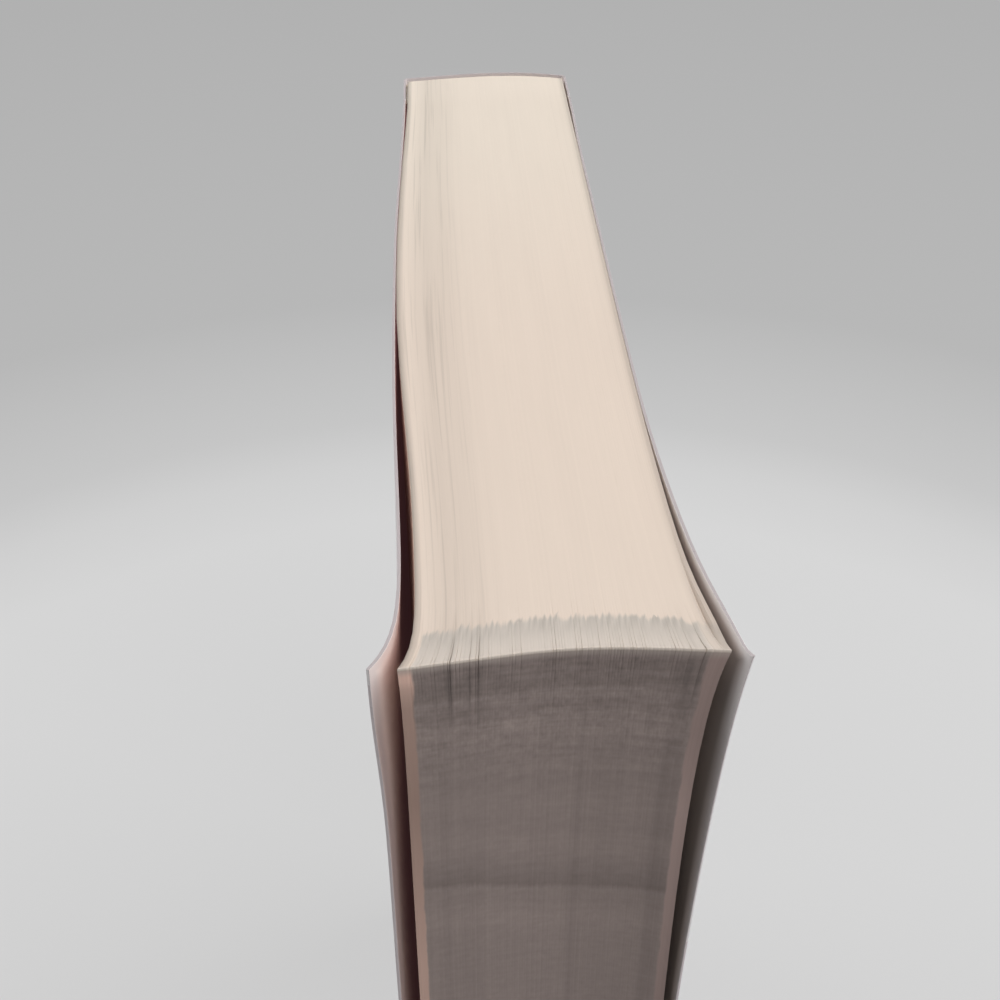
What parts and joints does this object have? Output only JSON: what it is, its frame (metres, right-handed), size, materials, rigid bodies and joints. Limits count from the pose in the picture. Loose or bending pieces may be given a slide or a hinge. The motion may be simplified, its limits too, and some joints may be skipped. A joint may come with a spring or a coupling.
{
  "type": "paperback book",
  "caption": "Thick comic-format paperback standing on its tail: rounded block of leaves in a glued wraparound card cover whose boards open at scores.",
  "frame": {"origin": "middle of the block's tail, on the surface that the book stands on", "axes": "+Z from tail to head, +Y from the fore edge to the spine, +X from the front cover to the back cover"},
  "size_m": [0.0298, 0.1301, 0.188],
  "materials": {
    "page_paper": "matt uncoated bulky paper, with a grey printed band where ink bleeds off the fore edge",
    "cover_card": "satin laminated card, plain pale blush outside and uncoated inside, with a white core at its cut edges",
    "binding_glue": "translucent cream hot-melt glue"
  },
  "bodies": {
    "book": {"page_block": "page_paper", "spine_glue": "binding_glue", "spine_cover": "cover_card"},
    "front_board": {"front_cover": "cover_card"},
    "back_board": {"back_cover": "cover_card"}
  },
  "joints": [
    {"name": "front_cover_hinge", "type": "hinge", "parent": "book", "child": "front_board", "pos_m": [-0.01215, 0.0565, 0], "axis": [0, 0, -1], "range_deg": [0, 180]},
    {"name": "back_cover_hinge", "type": "hinge", "parent": "book", "child": "back_board", "pos_m": [0.01215, 0.0565, 0], "axis": [0, 0, 1], "range_deg": [0, 180]}
  ]
}
